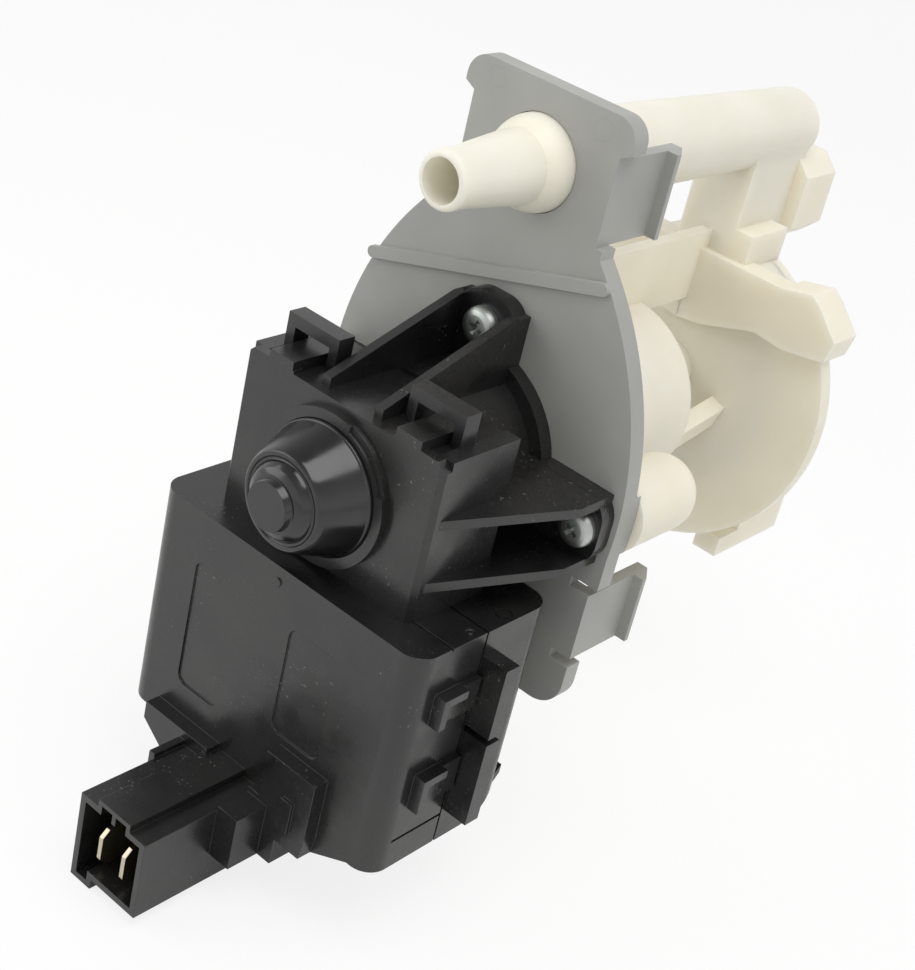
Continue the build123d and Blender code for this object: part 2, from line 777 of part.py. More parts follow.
# Front cap: closes the pole chamber; two tongues reach back under the housing's loops.
with BuildPart() as front_cap:
    with BuildSketch(Plane.XZ.offset(-box_front_y)):
        with BuildLine():
            Polyline(
                (-box_half_width, box_bottom_z),
                (box_half_width, box_bottom_z),
                (box_half_width, cap_top_z - cap_corner),
                (box_half_width - cap_corner, cap_top_z),
                (cap_recess_half_width, cap_top_z),
                (cap_recess_half_width, box_top_z),
                (-cap_recess_half_width, box_top_z),
                (-cap_recess_half_width, cap_top_z),
                (cap_corner - box_half_width, cap_top_z),
                (-box_half_width, cap_top_z - cap_corner),
                close=True,
            )
        make_face()
    extrude(amount=cap_thickness)
    side_edges = front_cap.faces().sort_by(Axis.Y)[0].edges().filter_by(Axis.Z).sort_by(Axis.X)
    chamfer([side_edges[0], side_edges[-1]], cap_edge_bevel)
    for side in (-1, 1):
        tongue_x = sorted((side * tongue_inner_x, side * tongue_outer_x))
        block(tongue_x, (cap_front_y, cap_front_y + tongue_length), (box_top_z + fit, tongue_top_z))
    # The rim round the nose has a raised outer lip, which is lower at the upper right.
    rim_front_y = cap_front_y - cap_rim_height
    ring(cap_rim_radius, rim_lip_radius, (rim_front_y, cap_front_y))
    gap_y = (rim_front_y, rim_front_y + rim_lip_step)
    block((rim_gap_x, cap_rim_radius), gap_y, (rim_gap_z, cap_rim_radius), Mode.SUBTRACT)
    ring(rim_lip_radius, can_radius, (rim_front_y, cap_front_y))
    rod(can_radius + fit, 0, 0, (rim_front_y, box_front_y), Mode.SUBTRACT)
save(front_cap, "front_cap")

# Rotor can: a thin sleeve with a flange behind and a stepped, domed nose in front.
with BuildPart() as rotor_can:
    pocket_rear_y = hub_front_y - washer_thickness - 2 * fit
    pocket_front_y = pocket_rear_y - bearing_length
    nose_front_y = nose_root_y - nose_cone_length - nose_dome_length - nose_tip_length
    dome_y = nose_root_y - nose_cone_length
    turned(
        [
            (can_bore_radius, plate_front_y),
            (can_flange_radius, plate_front_y),
            (can_flange_radius, plate_front_y - can_flange_thickness),
            (can_radius, plate_front_y - can_flange_thickness),
            (can_radius, nose_root_y),
            (nose_shoulder_radius, dome_y),
            (nose_dome_radius, dome_y),
            (nose_tip_radius + nose_dome_length / 2, dome_y - nose_dome_length),
            (nose_tip_radius, dome_y - nose_dome_length),
            (nose_tip_radius, nose_front_y),
            (0, nose_front_y),
            (0, nose_front_y + can_wall * 2),
            (nose_bore_radius, nose_front_y + can_wall * 2),
            (nose_bore_radius, pocket_front_y),
            (holder_radius + running_fit, pocket_front_y),
            (holder_radius + running_fit, pocket_rear_y),
            (can_bore_radius, pocket_rear_y),
        ]
    )
save(rotor_can, "rotor_can")

# Bearing carrier: closes the rear end of the can and holds the rear bearing.
rear_pocket_end_y = carrier_front_y + bearing_length
with BuildPart() as bearing_carrier:
    ring(can_bore_radius - running_fit, shaft_radius + moving_gap, (carrier_front_y, plate_front_y))
    rod(holder_radius + running_fit, 0, 0, (carrier_front_y, rear_pocket_end_y), Mode.SUBTRACT)
save(bearing_carrier, "bearing_carrier")

# The two motor bearings, each a plain bush in a rubber ring.
bearing_spans = {
    "front": (pocket_front_y, pocket_rear_y),
    "rear": (carrier_front_y, rear_pocket_end_y),
}
for end, span in bearing_spans.items():
    with BuildPart() as bearing:
        ring(bearing_radius, shaft_hole_radius, span)
    save(bearing, end + "_bearing")
    with BuildPart() as bearing_holder:
        ring(holder_radius, bearing_radius + running_fit, span)
    save(bearing_holder, end + "_bearing_holder")

# Thrust washers, one in front of the magnet's hub and one behind the driving dog.
washer_places = {"front": pocket_rear_y + fit, "rear": lug_rear_y + fit / 2}
for end, washer_y in washer_places.items():
    with BuildPart() as thrust_washer:
        ring(washer_radius, shaft_hole_radius, (washer_y, washer_y + washer_thickness))
    save(thrust_washer, end + "_thrust_washer")

# Rotor magnet on its moulded hub, which turns freely on the shaft between the dog's faces.
with BuildPart() as rotor_magnet:
    ring(magnet_radius, magnet_bore_radius, (magnet_front_y, magnet_rear_y))
save(rotor_magnet, "rotor_magnet")


def lug_sector(inner_radius, start, turn):
    """A driving lug seen from the front, as a private sketch."""
    with BuildSketch(mode=Mode.PRIVATE) as sector:
        with BuildLine():
            outer_arc = CenterArc((0, 0), lug_outer_radius, start, turn)
            inner_arc = CenterArc((0, 0), inner_radius, start, turn)
            Line(outer_arc @ 0, inner_arc @ 0)
            Line(outer_arc @ 1, inner_arc @ 1)
        make_face()
    return sector.sketch


with BuildPart() as magnet_hub:
    ring(magnet_bore_radius, shaft_hole_radius, (hub_front_y, hub_rear_y))
    ring(lug_outer_radius, shaft_hole_radius, (magnet_rear_y, hub_rear_y))
    with BuildSketch(Plane.XZ.offset(-hub_rear_y)):
        hub_lug_inner_radius = dog_collar_radius + moving_gap
        add(lug_sector(hub_lug_inner_radius, -lug_rest_gap_turn - hub_lug_turn, hub_lug_turn))
    extrude(amount=-lug_length)
save(magnet_hub, "magnet_hub")

# Driving dog: pressed on the shaft; the magnet swings freely until its lug meets the dog's.
with BuildPart() as drive_dog:
    ring(dog_collar_radius, shaft_hole_radius, (hub_rear_y + fit, lug_rear_y))
    with BuildSketch(Plane.XZ.offset(-hub_rear_y - moving_gap)):
        add(lug_sector(dog_collar_radius - fit, 0, dog_lug_turn))
    extrude(amount=-(lug_length - moving_gap))
save(drive_dog, "drive_dog")

# Rotor shaft: a polished pin from the nose bearing to the impeller.
impeller_rear_y = volute_rear_y - impeller_rear_gap
shaft_front_y = pocket_front_y - shaft_front_gap
with BuildPart() as rotor_shaft:
    rod(shaft_radius, 0, 0, (shaft_front_y, impeller_rear_y + impeller_hub_proud))
    chamfer(rotor_shaft.edges().filter_by(GeomType.CIRCLE), shaft_end_chamfer)
save(rotor_shaft, "rotor_shaft")

# Motor gasket: between the can's flange and the spigot of the pump body.
with BuildPart() as motor_gasket:
    gasket_inner_radius = can_bore_radius + fit
    ring(spigot_radius, gasket_inner_radius, (plate_front_y, plate_front_y + gasket_thickness))
save(motor_gasket, "motor_gasket")

# Shaft seal: a rubber disc with a collar in the front wall of the bell.
with BuildPart() as shaft_seal:
    ring(seal_radius + seal_flange, shaft_hole_radius, (-seal_flange, 0))
    ring(seal_radius, shaft_hole_radius, (0, seal_length))
save(shaft_seal, "shaft_seal")

# Lower bush: carries the shaft just before the impeller.
with BuildPart() as lower_bush:
    bush_rear_y = volute_front_y + volute_wall
    ring(lower_bush_radius, shaft_hole_radius, (bush_rear_y - lower_bush_length, bush_rear_y))
save(lower_bush, "lower_bush")

# Impeller: a disc and hub with straight blades towards the inlet.
with BuildPart() as impeller:
    impeller_front_y = bush_rear_y + impeller_front_gap
    disc_rear_y = impeller_front_y + impeller_disc
    ring(impeller_radius, shaft_hole_radius, (impeller_front_y, disc_rear_y))
    ring(impeller_hub_radius, shaft_hole_radius, (impeller_front_y, impeller_rear_y))
    blade_length = impeller_radius - impeller_hub_radius
    blade_middle = impeller_hub_radius + blade_length / 2
    with BuildSketch(Plane.XZ.offset(-disc_rear_y)):
        with PolarLocations(blade_middle, blade_count):
            Rectangle(blade_length + fit, blade_wall)
    extrude(amount=disc_rear_y - impeller_rear_y)
save(impeller, "impeller")

# Cover seal: a rubber ring in the groove of the volute's rim.
with BuildPart() as cover_seal:
    seal_inner = volute_cavity_radius + groove_floor + fit
    ring(seal_inner + cover_seal_width, seal_inner, (volute_rear_y - cover_seal_thickness, volute_rear_y))
save(cover_seal, "cover_seal")

# Mounting screws: three pan heads with a cross recess, through ears and plate into the bosses.
with BuildPart() as mounting_screws:
    for screw_x, screw_z in screw_places:
        head_front_y = ear_front_y - screw_head_height
        rod(screw_head_radius, screw_x, screw_z, (head_front_y, ear_front_y))
        rod(screw_radius, screw_x, screw_z, (ear_front_y, ear_front_y + screw_length))
    head_rims = mounting_screws.edges().filter_by(GeomType.CIRCLE).group_by(Axis.Y)[0]
    fillet(head_rims, screw_head_rounding)
    for screw_x, screw_z in screw_places:
        with Locations((screw_x, head_front_y + recess_depth / 2, screw_z)):
            Box(recess_length, recess_depth, recess_width, mode=Mode.SUBTRACT)
            Box(recess_width, recess_depth, recess_length, mode=Mode.SUBTRACT)
save(mounting_screws, "mounting_screws")


# Coil housing: front and rear shells that meet at a seam across the stator's legs.
def shell_profile(near_y, inset):
    """A shell's section across Z, from its outer face to the seam, as a private sketch."""
    away = 1 if near_y < coil_seam_y else -1
    width = 2 * (coil_half_width - inset)
    depth = abs(coil_seam_y - near_y) - coil_seam_gap / 2 - inset
    centre_y = near_y + away * (inset + depth / 2)
    with BuildSketch(mode=Mode.PRIVATE) as section:
        with Locations((0, centre_y)):
            Rectangle(width, depth)
        rows = section.vertices().group_by(Axis.Y)
        outer_corners = rows[0] if away > 0 else rows[-1]
        fillet(outer_corners, coil_corner - inset)
    return section.sketch


def cut_leg_slots():
    """The openings in a shell's top for the stator's two legs."""
    for side in (-1, 1):
        slot_x = (side * leg_centre_x - leg_half_width - fit, side * leg_centre_x + leg_half_width + fit)
        slot_y = (stack_front_y - fit, stack_rear_y + fit)
        block(slot_x, slot_y, (coil_top_z - coil_wall, coil_top_z), Mode.SUBTRACT)


def ejector_mark(x, y, radius):
    """The shallow round line that an ejector pin leaves on a shell's top."""
    with Locations((x, y, coil_top_z - ejector_depth / 2)):
        Cylinder(radius, ejector_depth, mode=Mode.SUBTRACT)
        Cylinder(radius - ejector_line, ejector_depth)


tab_places = (tab_centre_x - tab_pitch / 2, tab_centre_x + tab_pitch / 2)
with BuildPart() as coil_front_shell:
    with BuildSketch(Plane.XY.offset(coil_bottom_z)):
        add(shell_profile(coil_front_y, 0))
    extrude(amount=coil_top_z - coil_bottom_z)
    # The terminal tray stands forward under the front face and drops towards the socket.
    with BuildSketch(Plane.XZ.offset(-coil_seam_y)):
        with BuildLine():
            Polyline(
                (-tray_half_width, coil_bottom_z),
                (-tray_low_half_width, tray_low_z),
                (tray_low_half_width, tray_low_z),
                (tray_half_width, coil_bottom_z),
                close=True,
            )
        make_face()
    extrude(amount=coil_seam_y - coil_front_y)
    with BuildSketch(Plane.XZ.offset(-coil_front_y)):
        with BuildLine():
            Polyline(
                (tray_left_x, tray_left_z),
                (tray_left_step_x, tray_left_z),
                (tray_left_step_x, socket_top_z),
                (tray_right_step_x, socket_top_z),
                (tray_right_step_x, tray_right_z),
                (tray_right_x, tray_right_z),
                (tray_right_x, coil_bottom_z),
                (tray_low_half_width, tray_low_z),
                (-tray_low_half_width, tray_low_z),
                (tray_left_x, coil_bottom_z),
                close=True,
            )
        make_face()
    extrude(amount=tray_depth)
    block(
        (socket_left_x, socket_right_x),
        (socket_front_y, socket_rear_y),
        (socket_bottom_z, socket_top_z),
    )
    key_z = (socket_top_z, socket_top_z + key_rib_height)
    block((key_rib_left_x, key_rib_right_x), (socket_front_y, coil_front_y), key_z)
    step_z = (socket_bottom_z - key_step_drop, socket_bottom_z)
    block((socket_left_x, key_step_right_x), (socket_front_y, coil_front_y), step_z)
    tray_front_y = coil_front_y - tray_depth
    latch_x = (socket_right_x, socket_right_x + latch_reach)
    block(latch_x, (latch_front_y, tray_front_y), (latch_bottom_z, latch_top_z))
    shoulder_x = (socket_right_x, socket_right_x + latch_shoulder_reach)
    shoulder_z = (latch_bottom_z, latch_shoulder_top_z)
    block(shoulder_x, (tray_front_y, latch_shoulder_rear_y), shoulder_z)
    step_y = (tray_front_y - latch_step_depth, tray_front_y)
    block((shoulder_x[1], latch_step_x), step_y, (coil_bottom_z, latch_step_top_z))
    guide_x = (socket_left_x - guide_rib_reach, socket_left_x)
    block(guide_x, (latch_front_y, tray_front_y), (guide_rib_bottom_z, latch_top_z))
    # Two snap blocks on the right side, each with a raised rib in front and on top.
    for low_z, high_z in snap_block_spans:
        base_x = (coil_half_width - coil_wall / 2, coil_half_width + snap_block_height)
        rib_x = (coil_half_width - coil_wall / 2, coil_half_width + snap_rib_height)
        block(base_x, (snap_front_y, coil_seam_y), (low_z, high_z))
        block(rib_x, (snap_front_y, snap_front_y + snap_rib_width), (low_z, high_z))
        block(rib_x, (snap_front_y, snap_rib_rear_y), (high_z - snap_rib_width, high_z))
    with BuildSketch(Plane.XY.offset(coil_bottom_z + coil_wall)):
        add(shell_profile(coil_front_y, coil_wall))
    extrude(amount=coil_top_z - coil_bottom_z - 2 * coil_wall, mode=Mode.SUBTRACT)
    cut_leg_slots()
    for panel_x, panel_z in label_panels:
        panel_width = panel_x[1] - panel_x[0]
        panel_height = panel_z[1] - panel_z[0]
        with BuildSketch(Plane.XZ.offset(-coil_front_y)):
            with Locations((sum(panel_x) / 2, sum(panel_z) / 2)):
                RectangleRounded(panel_width, panel_height, label_corner)
        extrude(amount=-label_recess, mode=Mode.SUBTRACT)
    # Shallow lines along the right side and across the top, a small pip and an ejector mark.
    groove_x = (coil_half_width - groove_depth, coil_half_width)
    groove_z = (side_groove_z - groove_width / 2, side_groove_z + groove_width / 2)
    block(groove_x, (coil_front_y + coil_corner, coil_seam_y), groove_z, Mode.SUBTRACT)
    groove_y = (top_groove_y - groove_width / 2, top_groove_y + groove_width / 2)
    groove_z = (coil_top_z - groove_depth, coil_top_z)
    block((box_half_width, coil_half_width), groove_y, groove_z, Mode.SUBTRACT)
    rod(pip_radius, *pip_place, (coil_front_y - pip_height, coil_front_y + coil_wall / 2))
    ejector_mark(*front_ejector)
    mouth_x = (socket_left_x + socket_wall, socket_right_x - socket_wall)
    mouth_z = (socket_bottom_z + socket_wall, socket_top_z - socket_wall)
    mouth_y = (socket_front_y, socket_front_y + socket_depth)
    block(mouth_x, mouth_y, mouth_z, Mode.SUBTRACT)
    # The mouth is keyed: two windows under the rib above and a step at the lower left.
    window_z = (mouth_z[1], key_z[1] - key_window_wall)
    key_middle_x = (key_rib_left_x + key_rib_right_x) / 2
    left_window_x = (key_rib_left_x + key_window_wall, key_middle_x - key_window_wall / 2)
    right_window_x = (key_middle_x + key_window_wall / 2, key_rib_right_x - key_window_wall)
    for window_x in (left_window_x, right_window_x):
        block(window_x, mouth_y, window_z, Mode.SUBTRACT)
    step_x = (mouth_x[0], key_step_right_x - key_step_wall)
    block(step_x, mouth_y, (step_z[0] + key_step_wall, mouth_z[0]), Mode.SUBTRACT)
    for tab_x in tab_places:
        slot_x = (tab_x - tab_thickness / 2 - fit, tab_x + tab_thickness / 2 + fit)
        tab_z = (tab_centre_z - tab_width / 2 - fit, tab_centre_z + tab_width / 2 + fit)
        block(slot_x, (mouth_y[1], tab_rear_y + fit), tab_z, Mode.SUBTRACT)
        post_y = (tab_rear_y - tab_post_depth - fit, tab_rear_y + fit)
        block(slot_x, post_y, (tab_centre_z, tab_top_z + fit), Mode.SUBTRACT)
save(coil_front_shell, "coil_front_shell")

with BuildPart() as coil_rear_shell:
    with BuildSketch(Plane.XY.offset(coil_bottom_z)):
        add(shell_profile(coil_rear_y, 0))
    extrude(amount=coil_top_z - coil_bottom_z)
    for plate_z in side_plate_spans:
        plate_x = (coil_half_width - coil_wall / 2, coil_half_width + side_plate_reach)
        block(plate_x, (side_plate_front_y, side_plate_rear_y), plate_z)
    with BuildSketch(Plane.XY.offset(coil_bottom_z + coil_wall)):
        add(shell_profile(coil_rear_y, coil_wall))
    extrude(amount=coil_top_z - coil_bottom_z - 2 * coil_wall, mode=Mode.SUBTRACT)
    # The lower rear edge is cut back and closed by a sloping wall.
    with BuildSketch(Plane.YZ):
        with BuildLine():
            Polyline(
                (coil_rear_y - coil_chamfer_y - coil_wall, coil_bottom_z),
                (coil_rear_y, coil_bottom_z),
                (coil_rear_y, coil_bottom_z + coil_chamfer_z + coil_wall),
                close=True,
            )
        make_face()
    extrude(amount=coil_half_width - coil_wall / 2, both=True)
    with BuildSketch(Plane.YZ):
        with BuildLine():
            Polyline(
                (coil_rear_y - coil_chamfer_y, coil_bottom_z),
                (coil_rear_y, coil_bottom_z),
                (coil_rear_y, coil_bottom_z + coil_chamfer_z),
                close=True,
            )
        make_face()
    extrude(amount=coil_half_width, both=True, mode=Mode.SUBTRACT)
    cut_leg_slots()
    ejector_mark(*rear_ejector)
save(coil_rear_shell, "coil_rear_shell")

# Stator core: a laminated U whose leg ends are hollowed round the can.
with BuildPart() as stator_core:
    with BuildSketch(Plane.XZ.offset(-stack_front_y)):
        stack_half = leg_centre_x + leg_half_width
        with Locations((0, (pole_top_z + stack_bottom_z) / 2)):
            Rectangle(2 * stack_half, pole_top_z - stack_bottom_z)
        window_bottom_z = stack_bottom_z + yoke_height
        with Locations((0, (pole_top_z + window_bottom_z) / 2)):
            Rectangle(
                2 * (leg_centre_x - leg_half_width),
                pole_top_z - window_bottom_z,
                mode=Mode.SUBTRACT,
            )
        Circle(can_radius + pole_clearance, mode=Mode.SUBTRACT)
    extrude(amount=-stack_length)
save(stator_core, "stator_core")

# Coil bobbins and their windings, one pair on each leg.
for side, name in ((-1, "left"), (1, "right")):
    leg_x = side * leg_centre_x
    sleeve_half_x = leg_half_width + fit + bobbin_wall
    sleeve_half_y = stack_length / 2 + fit + bobbin_wall
    with BuildPart() as bobbin:
        for flange_z in (bobbin_bottom_z, bobbin_top_z - bobbin_wall):
            with BuildSketch(Plane.XY.offset(flange_z)):
                with Locations((leg_x, stack_centre_y)):
                    Rectangle(2 * flange_half_width, 2 * flange_half_depth)
            extrude(amount=bobbin_wall)
        with BuildSketch(Plane.XY.offset(bobbin_bottom_z)):
            with Locations((leg_x, stack_centre_y)):
                Rectangle(2 * sleeve_half_x, 2 * sleeve_half_y)
        extrude(amount=bobbin_top_z - bobbin_bottom_z)
        with BuildSketch(Plane.XY.offset(bobbin_bottom_z)):
            with Locations((leg_x, stack_centre_y)):
                Rectangle(2 * (leg_half_width + fit), stack_length + 2 * fit)
        extrude(amount=bobbin_top_z - bobbin_bottom_z, mode=Mode.SUBTRACT)
    save(bobbin, "bobbin_" + name)
    with BuildPart() as winding:
        winding_bottom_z = bobbin_bottom_z + bobbin_wall + running_fit
        winding_height = bobbin_top_z - bobbin_bottom_z - 2 * (bobbin_wall + running_fit)
        with BuildSketch(Plane.XY.offset(winding_bottom_z)):
            with Locations((leg_x, stack_centre_y)):
                RectangleRounded(
                    2 * (flange_half_width - winding_margin),
                    2 * (flange_half_depth - winding_margin),
                    coil_corner,
                )
                Rectangle(
                    2 * (sleeve_half_x + running_fit),
                    2 * (sleeve_half_y + running_fit),
                    mode=Mode.SUBTRACT,
                )
        extrude(amount=winding_height)
    save(winding, "winding_" + name)

# Terminal tabs: flat blades in the socket, each with a post up into the terminal tray.
for tab_x, name in zip(tab_places, ("left", "right")):
    with BuildPart() as terminal_tab:
        with BuildSketch(Plane.YZ.offset(tab_x - tab_thickness / 2)):
            with BuildLine():
                Polyline(
                    (tab_tip_y, tab_centre_z - tab_width / 2),
                    (tab_rear_y, tab_centre_z - tab_width / 2),
                    (tab_rear_y, tab_top_z),
                    (tab_rear_y - tab_post_depth, tab_top_z),
                    (tab_rear_y - tab_post_depth, tab_centre_z + tab_width / 2),
                    (tab_tip_y, tab_centre_z + tab_width / 2),
                    close=True,
                )
            make_face()
        extrude(amount=tab_thickness)
        tip_corners = terminal_tab.edges().filter_by(Axis.X).group_by(Axis.Y)[0]
        chamfer(tip_corners, tab_tip_chamfer)
    save(terminal_tab, "terminal_tab_" + name)
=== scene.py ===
import json
import math

import bpy
from mathutils import Matrix, Vector

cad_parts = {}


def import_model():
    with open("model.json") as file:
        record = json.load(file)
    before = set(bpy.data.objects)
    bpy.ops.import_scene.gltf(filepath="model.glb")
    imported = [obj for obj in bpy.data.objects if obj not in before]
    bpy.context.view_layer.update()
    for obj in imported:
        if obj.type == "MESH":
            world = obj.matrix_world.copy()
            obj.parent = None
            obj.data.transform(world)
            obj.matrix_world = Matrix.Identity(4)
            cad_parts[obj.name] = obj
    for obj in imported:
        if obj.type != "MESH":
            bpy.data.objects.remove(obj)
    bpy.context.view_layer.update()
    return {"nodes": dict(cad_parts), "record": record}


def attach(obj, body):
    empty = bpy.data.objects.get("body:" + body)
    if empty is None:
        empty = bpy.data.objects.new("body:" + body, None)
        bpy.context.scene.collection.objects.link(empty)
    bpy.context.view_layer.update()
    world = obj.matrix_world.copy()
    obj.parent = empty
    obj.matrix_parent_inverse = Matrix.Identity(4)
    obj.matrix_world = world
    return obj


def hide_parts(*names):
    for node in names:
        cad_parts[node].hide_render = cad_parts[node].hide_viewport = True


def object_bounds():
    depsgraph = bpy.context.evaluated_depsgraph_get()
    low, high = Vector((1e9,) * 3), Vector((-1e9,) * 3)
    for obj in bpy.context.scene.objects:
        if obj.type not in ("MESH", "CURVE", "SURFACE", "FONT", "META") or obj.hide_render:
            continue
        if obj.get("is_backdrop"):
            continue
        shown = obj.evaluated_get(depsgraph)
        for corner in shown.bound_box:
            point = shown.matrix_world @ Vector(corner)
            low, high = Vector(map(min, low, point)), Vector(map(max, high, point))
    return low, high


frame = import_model()

MM = 0.001

# Camera, from the photograph's perspective
CAMERA_PLACE_MM = (138.61, -204.96, 124.83)
CAMERA_RIGHT = (0.73407, 0.64590, 0.20966)
CAMERA_UP = (-0.46175, 0.24839, 0.85152)
CAMERA_BACK = (0.49792, -0.72189, 0.48058)
CAMERA_LENS = 67.5

# Points closer than this are one
MERGE_DISTANCE = 0.001 * MM

# Angles in degrees: faces flatter than this are joined, and below this an edge is shaded smooth
FLAT_ANGLE = 0.5
SMOOTH_ANGLE = 35
# Edges sharper than this are rounded, on moulded and on turned pieces
MOULD_ANGLE = 30
TURNED_ANGLE = 14

# Ejector marks on the plate's head, as x, z and radius in millimetres
RING_MARKS = ((-9.6, 52.6, 1.5), (9.6, 52.2, 1.6))
# Half the width and the depth of the sunk rings, in millimetres
RING_HALF_WIDTH = 0.12
RING_DEPTH = 0.1

# Size of the slow changes of tone and gloss, in millimetres
PLASTIC_TONE_MM = 14
PLASTIC_GLOSS_MM = 5
METAL_TONE_MM = 1.5
GRAIN_DEPTH_PLASTIC = 0.03
GRAIN_DEPTH_METAL = 0.02


def linear(hex_colour):
    """An sRGB hex colour as linear red, green, blue and alpha."""
    channels = [int(hex_colour[i:i + 2], 16) / 255 for i in (1, 3, 5)]
    bent = [c / 12.92 if c <= 0.04045 else ((c + 0.055) / 1.055) ** 2.4 for c in channels]
    return (*bent, 1.0)


def add_node(material, kind, settings=None, **links):
    """A shader node with its settings, and its inputs linked or set by name."""
    made = material.node_tree.nodes.new(kind)
    for key, value in (settings or {}).items():
        setattr(made, key, value)
    for key, value in links.items():
        socket = made.inputs[int(key[2:]) if key[:2] == "in" else key.replace("_", " ")]
        if isinstance(value, bpy.types.NodeSocket):
            material.node_tree.links.new(value, socket)
        else:
            socket.default_value = value
    return made


def new_material(name):
    """An empty node material with its Principled shader and its object coordinates."""
    material = bpy.data.materials.new(name)
    material.use_nodes = True
    shader = material.node_tree.nodes["Principled BSDF"]
    place = material.node_tree.nodes.new("ShaderNodeTexCoord").outputs["Object"]
    return material, shader, place


def noise_of(material, place, size_mm, detail):
    """A noise texture whose features are about this many millimetres wide."""
    return add_node(material, "ShaderNodeTexNoise", Vector=place, Scale=1 / (size_mm * MM), Detail=detail)


def grain_bump(material, place, grain_mm, strength, distance_mm):
    """Fine moulded grain as a bump, with the grain's size in millimetres."""
    noise = noise_of(material, place, grain_mm, 3.0)
    return add_node(
        material,
        "ShaderNodeBump",
        Strength=strength,
        Distance=distance_mm * MM,
        Height=noise.outputs["Fac"],
    ).outputs["Normal"]


def moulded_plastic(name, dark, light, rough_low, rough_high, grain_mm, strength):
    """A moulded plastic: slow colour variation, fine grain and uneven gloss."""
    material, shader, place = new_material(name)
    tree = material.node_tree
    slow = noise_of(material, place, PLASTIC_TONE_MM, 2.0)
    tone = add_node(material, "ShaderNodeValToRGB", Fac=slow.outputs["Fac"])
    tone.color_ramp.elements[0].color = linear(dark)
    tone.color_ramp.elements[1].color = linear(light)
    tone.color_ramp.elements[0].position = 0.3
    tone.color_ramp.elements[1].position = 0.7
    tree.links.new(tone.outputs["Color"], shader.inputs["Base Color"])
    handled = noise_of(material, place, PLASTIC_GLOSS_MM, 4.0)
    gloss = add_node(material, "ShaderNodeMapRange", Value=handled.outputs["Fac"])
    gloss.inputs["From Min"].default_value = 0.3
    gloss.inputs["From Max"].default_value = 0.7
    gloss.inputs["To Min"].default_value = rough_low
    gloss.inputs["To Max"].default_value = rough_high
    tree.links.new(gloss.outputs["Result"], shader.inputs["Roughness"])
    grain = grain_bump(material, place, grain_mm, strength, GRAIN_DEPTH_PLASTIC)
    tree.links.new(grain, shader.inputs["Normal"])
    shader.inputs["IOR"].default_value = 1.49
    return material, shader, place


def metal(name, dark, light, roughness, grain_mm):
    """A plated or drawn metal with slight tone changes."""
    material, shader, place = new_material(name)
    tree = material.node_tree
    slow = noise_of(material, place, METAL_TONE_MM, 3.0)
    tone = add_node(material, "ShaderNodeValToRGB", Fac=slow.outputs["Fac"])
    tone.color_ramp.elements[0].color = linear(dark)
    tone.color_ramp.elements[1].color = linear(light)
    tree.links.new(tone.outputs["Color"], shader.inputs["Base Color"])
    grain = grain_bump(material, place, grain_mm, 0.3, GRAIN_DEPTH_METAL)
    tree.links.new(grain, shader.inputs["Normal"])
    shader.inputs["Metallic"].default_value = 1.0
    shader.inputs["Roughness"].default_value = roughness
    return material


def dusty(material, shader, place, speck_mm, patch_mm, dust, amount):
    """Small pale specks in patches, over the colour and the gloss that a plastic already has."""
    tree = material.node_tree
    speck = noise_of(material, place, speck_mm, 1.0)
    patch = noise_of(material, place, patch_mm, 2.0)
    # Only the noise's peaks become specks, and only inside the patches.
    specks = add_node(
        material, "ShaderNodeMapRange", Value=speck.outputs["Fac"], From_Min=0.68, From_Max=0.76
    )
    patches = add_node(
        material, "ShaderNodeMapRange", Value=patch.outputs["Fac"], From_Min=0.5, From_Max=0.64
    )
    share = add_node(
        material,
        "ShaderNodeMath",
        {"operation": "MULTIPLY"},
        in0=specks.outputs["Result"],
        in1=patches.outputs["Result"],
    )
    weight = add_node(
        material, "ShaderNodeMath", {"operation": "MULTIPLY"}, in0=share.outputs[0], in1=amount
    )
    tone = shader.inputs["Base Color"].links[0].from_socket
    mixed = add_node(
        material,
        "ShaderNodeMixRGB",
        Fac=weight.outputs[0],
        Color1=tone,
        Color2=linear(dust),
    )
    tree.links.new(mixed.outputs["Color"], shader.inputs["Base Color"])


def ejector_rings(material, shader, place, marks):
    """Faint sunk rings that ejector pins leave, each given by its x, z and radius in millimetres."""
    tree = material.node_tree
    parts = add_node(material, "ShaderNodeSeparateXYZ", Vector=place)
    across = add_node(material, "ShaderNodeCombineXYZ", X=parts.outputs["X"], Z=parts.outputs["Z"])
    deepest = 0.0
    for mark_x, mark_z, radius in marks:
        centre = (mark_x * MM, 0, mark_z * MM)
        away = add_node(
            material,
            "ShaderNodeVectorMath",
            {"operation": "DISTANCE"},
            in0=across.outputs["Vector"],
            in1=centre,
        )
        ring = add_node(
            material,
            "ShaderNodeMath",
            {"operation": "COMPARE"},
            in0=away.outputs["Value"],
            in1=radius * MM,
            in2=RING_HALF_WIDTH * MM,
        )
        deepest = add_node(
            material, "ShaderNodeMath", {"operation": "MAXIMUM"}, in0=ring.outputs[0], in1=deepest
        ).outputs[0]
    sunk = add_node(
        material,
        "ShaderNodeBump",
        {"invert": True},
        Strength=0.6,
        Distance=RING_DEPTH * MM,
        Height=deepest,
        Normal=shader.inputs["Normal"].links[0].from_socket,
    )
    tree.links.new(sunk.outputs["Normal"], shader.inputs["Normal"])


# Natural polypropylene, moulded, slightly milky: light enters the surface and softens edges.
natural_pp, natural_shader, _ = moulded_plastic(
    "natural_polypropylene", "#e7e1cf", "#eee8d8", 0.34, 0.46, 0.35, 0.15
)
natural_shader.inputs["Subsurface Weight"].default_value = 0.5
natural_shader.inputs["Subsurface Radius"].default_value = (0.006, 0.0055, 0.0045)
natural_shader.inputs["Subsurface Scale"].default_value = 0.8
